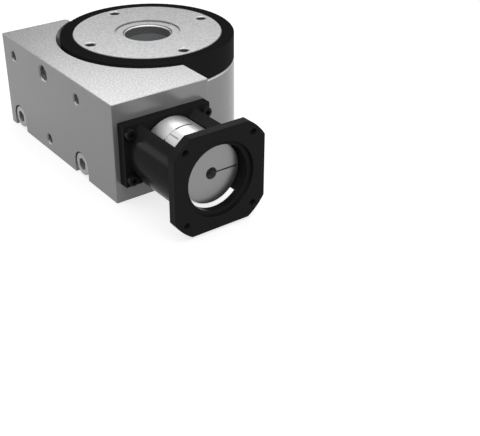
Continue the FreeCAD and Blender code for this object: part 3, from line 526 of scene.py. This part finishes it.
PAD_COUNT, PAD_FIRST, PAD_STEP = 6, 30, 60  # angles in degrees
PAD_REACH = 17  # degrees to each side of a pad's middle
LEG_STEP, LEG_REACH = 120, 1  # the spider's legs, three from each side
PAD_HALF = ((0.0181, 0.00044), (0.0203, 0.00044), (0.02092, 0.0007))  # radius, offset along
RIM_INNER, RIM_OUTER = 0.02082, 0.02098
RIM_INNER_BACK, RIM_OUTER_BACK = 0.00111, 0.00126  # offsets from the joint's middle
RIM_FRONT, RIM_FRONT_AT_PAD, RIM_FRONT_AT_LEG = 0.00018, 0.00075, 0.0011


def round_worm(angle, section):
    """Section (radius, offset along the axis from the joint) turned to an angle in degrees."""
    turn = math.radians(angle)
    return [
        (WORM_X + r * math.cos(turn), SPIDER_Y + y, WORM_Z + r * math.sin(turn))
        for r, y in section
    ]


def spider_pad(name, middle):
    section = [*PAD_HALF, *((r, -y) for r, y in reversed(PAD_HALF))]
    angles = range(-PAD_REACH, PAD_REACH + 1)
    rows = [round_worm(middle + angle, section) for angle in angles]
    loft(name, rows, pad_black, "worm")


def off(angle, step, start):
    """Least angle to one of the places that repeat every step degrees from start."""
    return abs((angle - start + step / 2) % step - step / 2)


def joint_rim(name, way, first_leg):
    """Ring in the chamfers of the joint, on one side of it; it leaves room for pads and legs."""
    rows = []
    for angle in range(360):
        front = RIM_FRONT
        if off(angle, PAD_STEP, PAD_FIRST) <= PAD_REACH:
            front = RIM_FRONT_AT_PAD
        elif off(angle, LEG_STEP, first_leg) <= LEG_REACH:
            front = RIM_FRONT_AT_LEG
        section = (
            (RIM_INNER, way * front),
            (RIM_OUTER, way * front),
            (RIM_OUTER, way * RIM_OUTER_BACK),
            (RIM_INNER, way * RIM_INNER_BACK),
        )
        rows.append(round_worm(angle, section))
    loft(name, rows, looks["coupling_aluminium"], "worm", closed=True)


for index in range(PAD_COUNT):
    spider_pad("spider_pad_%d" % index, PAD_FIRST + PAD_STEP * index)
joint_rim("joint_rim_front", way=-1.0, first_leg=0)
joint_rim("joint_rim_rear", way=1.0, first_leg=60)


# Floor and backdrop: one shallow bowl, white to the eye and to reflections

FLOOR_SIDES = 64
FLOOR_DROP = 0.0003  # keeps the floor just clear of the base
FLOOR_PROFILE = (  # radius and height
    (2.0, 0.0), (6.0, 0.0), (7.2, 0.12), (7.8, 0.45), (8.0, 0.9), (8.0, 1.12)
)
FLOOR_SEEN, FLOOR_GLOW = (0.4, 0.4, 0.4, 1.0), 0.74  # to the eye and in reflections
FLOOR_BOUNCE = (0.24, 0.24, 0.24, 1.0)  # to all other light


def floor_material():
    mat = bpy.data.materials.new("floor_pale")
    mat.use_nodes = True
    tree = mat.node_tree
    tree.nodes.clear()
    seen = new_node(tree, "ShaderNodeBsdfDiffuse", {"Color": FLOOR_SEEN}).outputs[0]
    lit = {"Color": WHITE, "Strength": FLOOR_GLOW}
    glow = new_node(tree, "ShaderNodeEmission", lit).outputs[0]
    bright = new_node(tree, "ShaderNodeAddShader", {0: seen, 1: glow}).outputs[0]
    bounce = new_node(tree, "ShaderNodeBsdfDiffuse", {"Color": FLOOR_BOUNCE}).outputs[0]
    path = new_node(tree, "ShaderNodeLightPath", {}).outputs
    white = math_node(tree, "MAXIMUM", path["Is Camera Ray"], path["Is Glossy Ray"])
    white = math_node(tree, "MAXIMUM", white, path["Is Transmission Ray"])
    inputs = {0: white, 1: bounce, 2: bright}
    mixed = new_node(tree, "ShaderNodeMixShader", inputs).outputs[0]
    new_node(tree, "ShaderNodeOutputMaterial", {"Surface": mixed})
    return mat


def make_floor():
    mesh = bmesh.new()
    rings = []
    for radius, height in FLOOR_PROFILE:
        ring = []
        for step in range(FLOOR_SIDES):
            angle = 2 * math.pi * step / FLOOR_SIDES
            place = (radius * math.cos(angle), radius * math.sin(angle), height - FLOOR_DROP)
            ring.append(mesh.verts.new(place))
        rings.append(ring)
    mesh.faces.new(rings[0])
    for lower, upper in zip(rings, rings[1:]):
        bridge(mesh, lower, upper)
    floor = to_object(mesh, "floor", floor_material())


# Light and camera

# Dome: strength by height, times a factor by side
DOME_LOW, DOME_HIGH = 0.36, 0.53
DOME_DIM, DOME_BRIGHT = 0.06, 0.92
DOME_SIDE = 0.8
DOME_LEFT, DOME_RIGHT = 0.90, 1.08

# Lamps: name, place, target, size and power in watts
LAMPS = (
    ("overhead", (-0.06, -0.20, 0.55), (-0.05, -0.15, 0.0), (0.58, 0.58), 0.68),
    ("behind", (0.225, 0.283, 0.385), (-0.06, -0.13, 0.065), (0.38, 0.25), 0.37),
    ("front", (0.14, -0.84, 0.27), (-0.03, -0.09, 0.04), (0.55, 0.45), 0.95),
    ("side", (-0.656, 0.566, 0.12), (-0.076, -0.124, 0.045), (0.15, 0.20), 0.70),
)

# Camera: angles in degrees, lens and sensor in millimetres
CAMERA_PLACE = (-0.34134, -0.56881, 0.31210)
CAMERA_YAW, CAMERA_PITCH, CAMERA_ROLL = 36.851, 31.122, 0.393
CAMERA_LENS, CAMERA_SENSOR = 71.277, 36.0
CAMERA_NEAR, CAMERA_FAR = 0.01, 60.0


def make_world():
    """Soft dome, dim near the horizon and towards the left, bright overhead."""
    world = bpy.data.worlds.new("studio")
    bpy.context.scene.world = world
    world.use_nodes = True
    tree = world.node_tree
    x, _, z = split_xyz(tree, new_node(tree, "ShaderNodeTexCoord", {}).outputs["Generated"])
    rise = remap(
        tree, z, DOME_LOW, DOME_HIGH, DOME_DIM, DOME_BRIGHT, interpolation_type="SMOOTHSTEP"
    )
    turn = remap(tree, x, -DOME_SIDE, DOME_SIDE, DOME_LEFT, DOME_RIGHT)
    background = tree.nodes["Background"]
    background.inputs["Color"].default_value = WHITE
    tree.links.new(product(tree, rise, turn), background.inputs["Strength"])


def softbox(name, place, target, size, power):
    data = bpy.data.lights.new(name, "AREA")
    data.shape = "RECTANGLE"
    data.size, data.size_y = size
    data.energy = power
    lamp = bpy.data.objects.new(name, data)
    lamp.location = place
    lamp.rotation_euler = (Vector(target) - Vector(place)).to_track_quat("-Z", "Y").to_euler()
    lamp.visible_camera = False
    bpy.context.scene.collection.objects.link(lamp)


def make_camera():
    yaw, pitch, roll = (math.radians(a) for a in (CAMERA_YAW, CAMERA_PITCH, CAMERA_ROLL))
    level_ahead = Vector((math.sin(yaw), math.cos(yaw), 0.0))
    ahead = math.cos(pitch) * level_ahead - math.sin(pitch) * Vector(UP)
    level = Vector((math.cos(yaw), -math.sin(yaw), 0.0))
    upright = level.cross(ahead)
    right = math.cos(roll) * level + math.sin(roll) * upright
    above = math.cos(roll) * upright - math.sin(roll) * level
    data = bpy.data.cameras.new("camera")
    data.sensor_width = CAMERA_SENSOR
    data.lens = CAMERA_LENS
    data.clip_start = CAMERA_NEAR
    data.clip_end = CAMERA_FAR
    camera = bpy.data.objects.new("camera", data)
    turn = Matrix((right, above, -ahead)).transposed().to_4x4()
    camera.matrix_world = Matrix.Translation(CAMERA_PLACE) @ turn
    bpy.context.scene.collection.objects.link(camera)
    bpy.context.scene.camera = camera


make_floor()
make_world()
for lamp in LAMPS:
    softbox(*lamp)
make_camera()
bpy.context.scene.view_settings.view_transform = "Standard"
